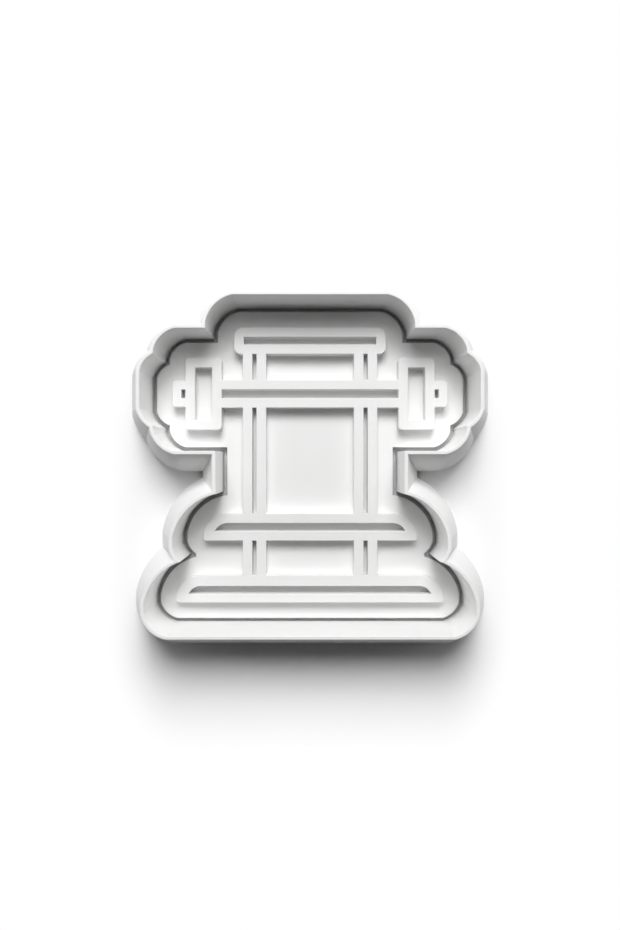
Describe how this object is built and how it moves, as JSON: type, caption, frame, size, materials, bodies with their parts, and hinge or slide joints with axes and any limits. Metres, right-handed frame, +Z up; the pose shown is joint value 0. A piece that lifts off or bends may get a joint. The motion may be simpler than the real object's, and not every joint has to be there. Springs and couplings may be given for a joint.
{
  "type": "cookie cutter with stamp",
  "caption": "Outline cookie cutter with a flared foot, and a loose stamp plate inside it with a raised line picture of a barbell on a weight bench.",
  "frame": {"origin": "middle of the cutter's outline, on the surface that the cutter's foot and the stamp's plate lie on", "axes": "+X to the right of the raised picture, +Y to its top, +Z up through the cutting edge"},
  "size_m": [0.0882, 0.0882, 0.0155],
  "materials": {
    "white_plastic": "smooth white printed plastic, matte to satin, with faint layer lines"
  },
  "bodies": {
    "cutter": {"cutter": "white_plastic"},
    "stamp": {"stamp_plate": "white_plastic", "relief_head_pad": "white_plastic", "relief_bar_upper_rail": "white_plastic", "relief_bar_lower_rail": "white_plastic", "relief_left_weight": "white_plastic", "relief_right_weight": "white_plastic", "relief_left_collar": "white_plastic", "relief_right_collar": "white_plastic", "relief_left_upright_outer_top": "white_plastic", "relief_left_upright_outer_middle": "white_plastic", "relief_left_upright_outer_low": "white_plastic", "relief_left_upright_inner_top": "white_plastic", "relief_left_upright_inner_middle": "white_plastic", "relief_left_upright_inner_low": "white_plastic", "relief_right_upright_outer_top": "white_plastic", "relief_right_upright_outer_middle": "white_plastic", "relief_right_upright_outer_low": "white_plastic", "relief_right_upright_inner_top": "white_plastic", "relief_right_upright_inner_middle": "white_plastic", "relief_right_upright_inner_low": "white_plastic", "relief_upper_foot": "white_plastic", "relief_lower_foot": "white_plastic"}
  },
  "joints": [
    {"name": "stamp_lift", "type": "slide", "parent": "cutter", "child": "stamp", "axis": [0, 0, 1], "range_m": [0, 0.018]}
  ]
}
